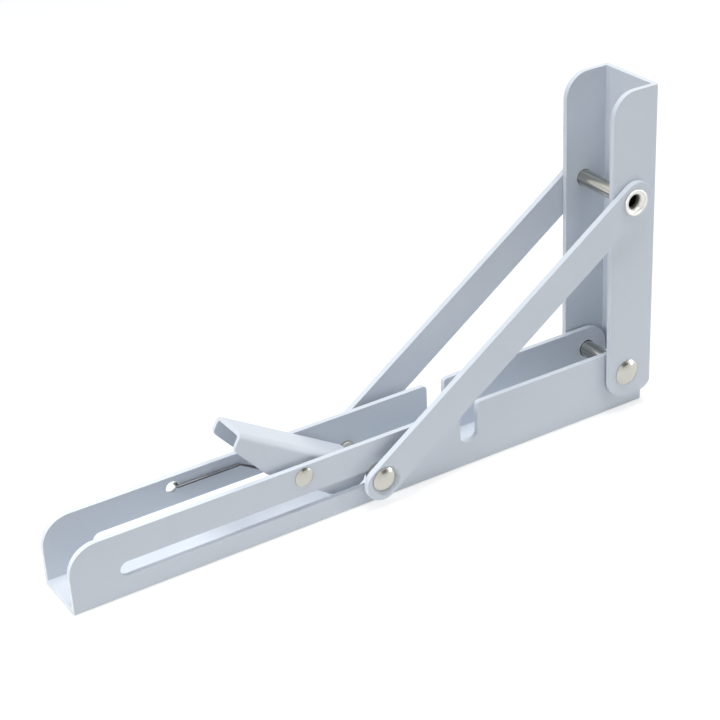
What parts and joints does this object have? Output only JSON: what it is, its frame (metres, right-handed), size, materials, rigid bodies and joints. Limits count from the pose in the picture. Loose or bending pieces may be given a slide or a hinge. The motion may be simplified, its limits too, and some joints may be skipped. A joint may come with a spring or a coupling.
{
  "type": "folding shelf bracket",
  "caption": "Folding shelf bracket: U-channel shelf arm and wall channel on a pivot, two struts sliding in slotted flanges, and a sprung release lever.",
  "frame": {"origin": "centre of the bounding box in X and Y, on the shelf face of the arm's web", "axes": "+X towards the wall, +Z along the open wall channel away from the shelf face, +Y across; the arm lies on its web as in the picture, upside down to its use"},
  "size_m": [0.3, 0.0452, 0.16],
  "materials": {
    "painted_steel": "satin",
    "plated_steel": "polished",
    "spring_steel": "satin"
  },
  "bodies": {
    "arm": {"shelf_arm": "painted_steel", "lever_rivet": "plated_steel", "lever_spring": "spring_steel"},
    "wall": {"wall_channel": "painted_steel", "fold_rivet": "plated_steel", "near_fold_washer": "plated_steel", "far_fold_washer": "plated_steel", "top_tube": "plated_steel"},
    "slide": {"near_slide_rivet": "plated_steel", "far_slide_rivet": "plated_steel", "near_slide_washer": "plated_steel", "far_slide_washer": "plated_steel"},
    "struts": {"near_strut": "painted_steel", "far_strut": "painted_steel", "near_tube_rim": "plated_steel", "far_tube_rim": "plated_steel"},
    "lever": {"release_lever": "painted_steel", "near_lever_washer": "plated_steel", "far_lever_washer": "plated_steel", "lever_sleeve": "plated_steel"}
  },
  "joints": [
    {"name": "fold", "type": "hinge", "parent": "arm", "child": "wall", "pos_m": [0.1353, 0, 0.0202], "axis": [0, -1, 0], "range_deg": [0, 90]},
    {"name": "strut_slide", "type": "slide", "parent": "arm", "child": "slide", "axis": [-1, 0, 0], "range_m": [0, 0.11817]},
    {"name": "strut_turn", "type": "hinge", "parent": "slide", "child": "struts", "pos_m": [-0.00208, 0, 0.0132], "axis": [0, 1, 0], "range_deg": [0, 32.4]},
    {"name": "lever_press", "type": "hinge", "parent": "arm", "child": "lever", "pos_m": [-0.03908, 0, 0.0256], "axis": [0, -1, 0], "range_deg": [0, 12], "stiffness_Nm_per_rad": 0.3, "springref_deg": -11.46, "deforming": ["lever_spring"]}
  ],
  "couplings": [
    {"joint": "strut_slide", "follows": "fold", "m_per_rad": 0.075104},
    {"joint": "strut_turn", "follows": "fold", "ratio": 0.35944}
  ]
}
